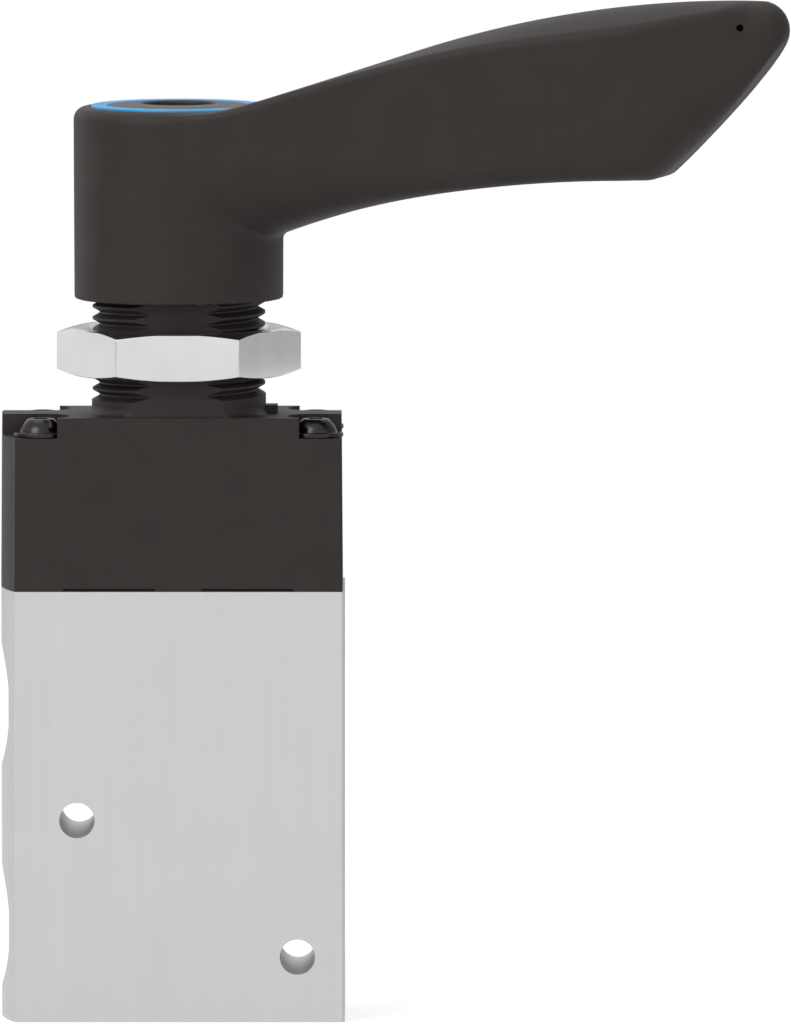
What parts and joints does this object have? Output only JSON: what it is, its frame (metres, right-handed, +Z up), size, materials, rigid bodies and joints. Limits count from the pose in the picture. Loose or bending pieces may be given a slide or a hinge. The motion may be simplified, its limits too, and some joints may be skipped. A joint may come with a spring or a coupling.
{
  "type": "hand lever air valve",
  "caption": "Panel-mounted air valve with a rectangular metal block, black housing, threaded neck with hex nut, and a curved hand lever that points to one side.",
  "frame": {"origin": "on the axis of the neck and lever, at the underside of the block", "axes": "+Z up along the neck, +X to the side with the single port, +Y from the front to the back; at rest the lever points 15 degrees to the front of +X"},
  "size_m": [0.1001, 0.0377, 0.1308],
  "materials": {
    "block": "satin, natural anodised",
    "housing": "moulded, fine grain",
    "lever": "moulded, fine grain",
    "nut": "bright plated",
    "black_screws": "glossy black oxide",
    "blue_ring": "moulded, satin",
    "cap": "moulded, fine grain",
    "acetal": "machined, natural white",
    "seals": "moulded rubber",
    "spool": "ground",
    "steel": "turned",
    "brass": "turned"
  },
  "bodies": {
    "valve": {"valve_body": "block", "lower_cage": "acetal", "middle_cage": "acetal", "upper_cage": "acetal", "lower_seal": "seals", "upper_seal": "seals", "top_seal": "seals", "stack_retainer": "acetal", "retainer_oring": "seals", "retaining_ring": "steel", "spring_seat": "steel", "return_spring": "steel", "control_housing": "housing", "housing_screws": "black_screws", "panel_nut": "nut", "lower_bush": "acetal", "upper_bush": "acetal", "thrust_washer": "acetal"},
    "lever": {"lever_handle": "lever", "hub_insert": "brass", "screw_washer": "steel", "lever_screw": "black_screws", "indicator_ring": "blue_ring", "hub_cap": "cap", "cam_spindle": "steel", "spindle_oring": "seals"},
    "plunger": {"tappet": "acetal", "spool": "spool"}
  },
  "joints": [
    {"name": "lever_turn", "type": "hinge", "parent": "valve", "child": "lever", "pos_m": [0, 0, 0.0945], "axis": [0, 0, 1], "range_deg": [0, 90]},
    {"name": "plunger_slide", "type": "slide", "parent": "valve", "child": "plunger", "axis": [0, 0, -1], "range_m": [0, 0.004], "deforming": ["return_spring"]}
  ],
  "couplings": [
    {"joint": "plunger_slide", "follows": "lever_turn", "m_per_rad": 0.0025464}
  ]
}
